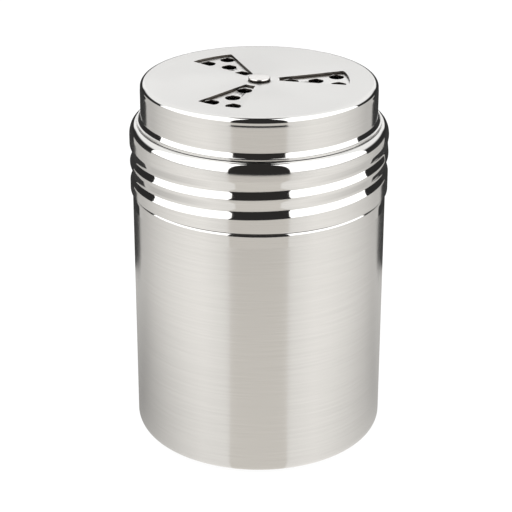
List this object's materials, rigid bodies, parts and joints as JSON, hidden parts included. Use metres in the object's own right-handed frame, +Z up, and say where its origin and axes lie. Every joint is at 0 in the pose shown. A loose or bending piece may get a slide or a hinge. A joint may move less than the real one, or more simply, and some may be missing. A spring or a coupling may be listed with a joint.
{
  "type": "spice shaker",
  "caption": "Stainless steel spice shaker: a round can, a lid that screws on its neck, and a windowed dial that turns on the lid over coarse and fine holes",
  "frame": {"origin": "centre of the base, on the plane the shaker stands on", "axes": "+Z is up along the shaker's axis, -Y is the side seen in the picture, +X is to the right of that view"},
  "size_m": [0.065, 0.065, 0.095],
  "materials": {
    "can_steel": "satin, brushed round the wall, with a polished band under the neck",
    "lid_steel": "semi-bright, rolled and lightly brushed round",
    "dial_steel": "fine satin top and wall, bright polished edge and flare",
    "rivet_steel": "bright, pressed",
    "washer_steel": "plain stamped spring steel",
    "seal_silicone": "matt translucent white silicone"
  },
  "bodies": {
    "can": {"can_body": "can_steel"},
    "seal": {"seal_ring": "seal_silicone"},
    "lid": {"lid_shell": "lid_steel", "rivet": "rivet_steel", "spring_washer": "washer_steel", "flat_washer": "washer_steel"},
    "dial": {"dial_cap": "dial_steel"}
  },
  "joints": [
    {"name": "lid_lift", "type": "slide", "parent": "can", "child": "seal", "axis": [0, 0, 1], "range_m": [0, 0.02251]},
    {"name": "lid_turn", "type": "hinge", "parent": "seal", "child": "lid", "pos_m": [0, 0, 0.075], "axis": [0, 0, 1], "range_deg": [0, 1620]},
    {"name": "dial_turn", "type": "hinge", "parent": "lid", "child": "dial", "pos_m": [0, 0, 0.0942], "axis": [0, 0, 1], "continuous": true}
  ],
  "couplings": [
    {"joint": "lid_lift", "follows": "lid_turn", "m_per_rad": 0.00079577}
  ]
}
